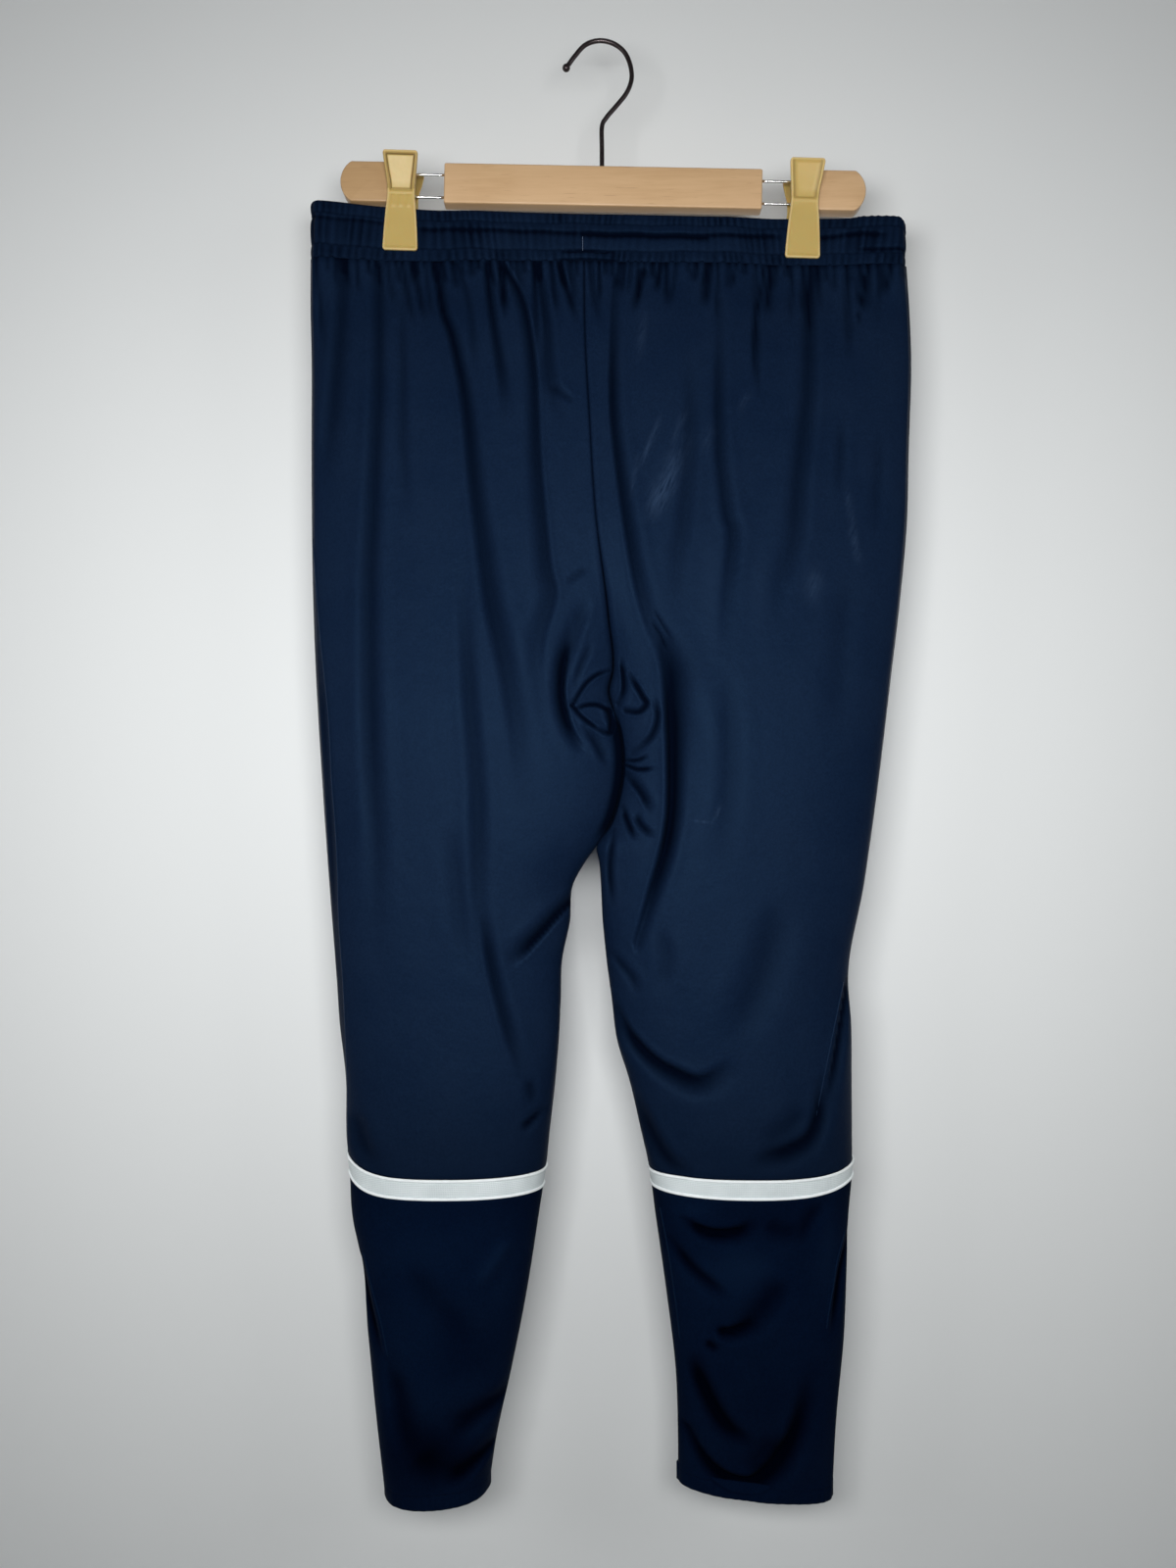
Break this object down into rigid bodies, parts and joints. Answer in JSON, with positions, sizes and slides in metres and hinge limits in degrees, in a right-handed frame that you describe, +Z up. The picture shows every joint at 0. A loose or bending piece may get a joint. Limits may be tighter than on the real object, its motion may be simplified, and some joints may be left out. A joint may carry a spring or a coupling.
{
  "type": "track pants on a clip hanger",
  "caption": "Navy knitted track pants with an elastic waistband and white mesh calf bands, hanging back side out from a wooden clip hanger.",
  "frame": {"origin": "inner top of the hanger's hook, where it rests on its support", "axes": "+Z up, -Y out of the garment's back, +X towards the wearer's right leg"},
  "size_m": [0.4597, 0.0734, 1.1156],
  "materials": {
    "navy_knit": "smooth polyester knit with a soft sheen",
    "dark_navy_knit": "matte polyester knit",
    "white_mesh": "white mesh with piped edges",
    "beech": "clear satin lacquer",
    "ochre_plastic": "satin moulded plastic, slightly translucent",
    "bright_steel": "polished wire",
    "brown_steel": "dark lacquered wire"
  },
  "bodies": {
    "root": {"waistband": "navy_knit", "back_left": "navy_knit", "back_right": "navy_knit", "front_left": "navy_knit", "front_right": "navy_knit", "calf_band_left": "white_mesh", "calf_band_right": "white_mesh", "calf_back_left": "dark_navy_knit", "calf_back_right": "dark_navy_knit", "calf_front_left": "dark_navy_knit", "calf_front_right": "dark_navy_knit", "hanger_bar": "beech", "hanger_end_left": "beech", "hanger_end_right": "beech", "wire_upper_left": "bright_steel", "wire_lower_left": "bright_steel", "wire_upper_right": "bright_steel", "wire_lower_right": "bright_steel", "clip_left_back_lever": "ochre_plastic", "clip_left_front_lever": "ochre_plastic", "clip_left_spring": "ochre_plastic", "clip_right_back_lever": "ochre_plastic", "clip_right_front_lever": "ochre_plastic", "clip_right_spring": "ochre_plastic", "hook": "brown_steel"}
  },
  "joints": []
}
